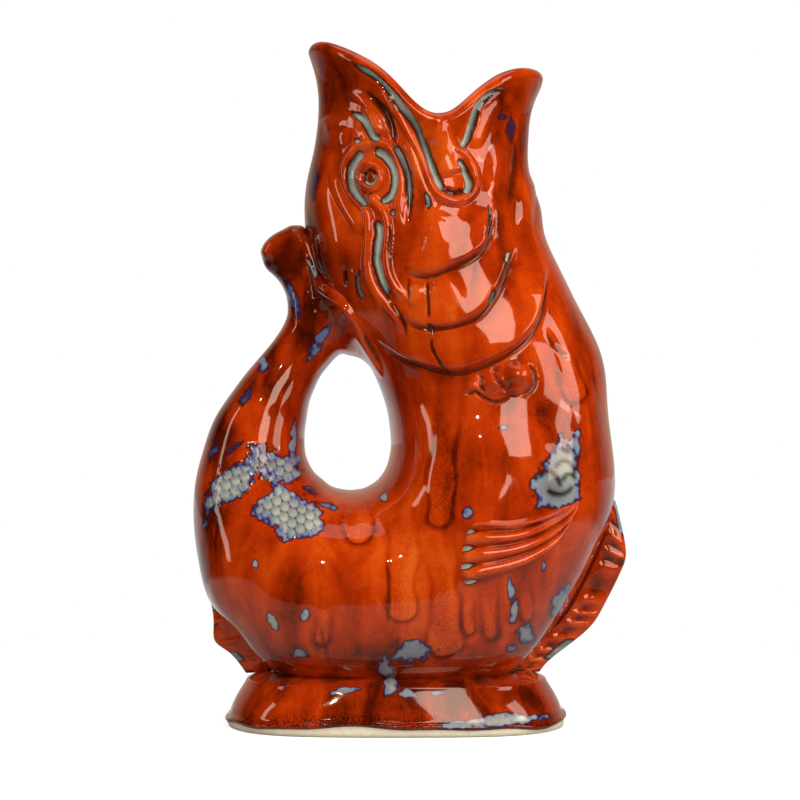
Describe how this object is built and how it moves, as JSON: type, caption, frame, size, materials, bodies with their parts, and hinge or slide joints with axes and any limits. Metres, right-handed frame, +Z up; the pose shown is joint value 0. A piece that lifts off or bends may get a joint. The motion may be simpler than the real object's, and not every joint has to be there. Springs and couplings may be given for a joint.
{
  "type": "gurgle jug",
  "caption": "Hollow ceramic jug in the form of an upright fish, with an open mouth to pour from and a hollow tail as handle.",
  "frame": {"origin": "on the table under the middle of the jug's bounding box", "axes": "+Z up, +X towards the pouring lip, +Y towards the fish's left side"},
  "size_m": [0.1521, 0.1102, 0.2399],
  "materials": {
    "glaze": "glossy orange-red reactive glaze that breaks grey-blue in its furrows",
    "foot_glaze": "the same glaze, ending in a wavy roll above a bare cream edge",
    "rim_glaze": "the same glaze, darker where it runs thin on the rim",
    "fin_glaze": "the same glaze with grey furrows between the rays",
    "eye_glaze": "glossy grey where the glaze pools in the eye"
  },
  "bodies": {
    "root": {"foot": "foot_glaze", "belly": "glaze", "tail_root": "glaze", "chest": "glaze", "head": "glaze", "mouth_lip": "rim_glaze", "tail_handle": "glaze", "tail_fin": "fin_glaze", "front_fin": "fin_glaze", "back_fin": "fin_glaze", "left_eye": "eye_glaze", "right_eye": "eye_glaze", "left_eye_ring": "glaze", "right_eye_ring": "glaze", "left_brow": "glaze", "right_brow": "glaze", "left_cheek_fold": "glaze", "right_cheek_fold": "glaze", "left_mouth_corner": "glaze", "right_mouth_corner": "glaze", "left_gill_fold": "glaze", "right_gill_fold": "glaze", "left_gill_cover": "glaze", "right_gill_cover": "glaze", "left_side_fin": "fin_glaze", "right_side_fin": "fin_glaze", "left_small_fin": "fin_glaze", "right_small_fin": "fin_glaze"}
  },
  "joints": []
}
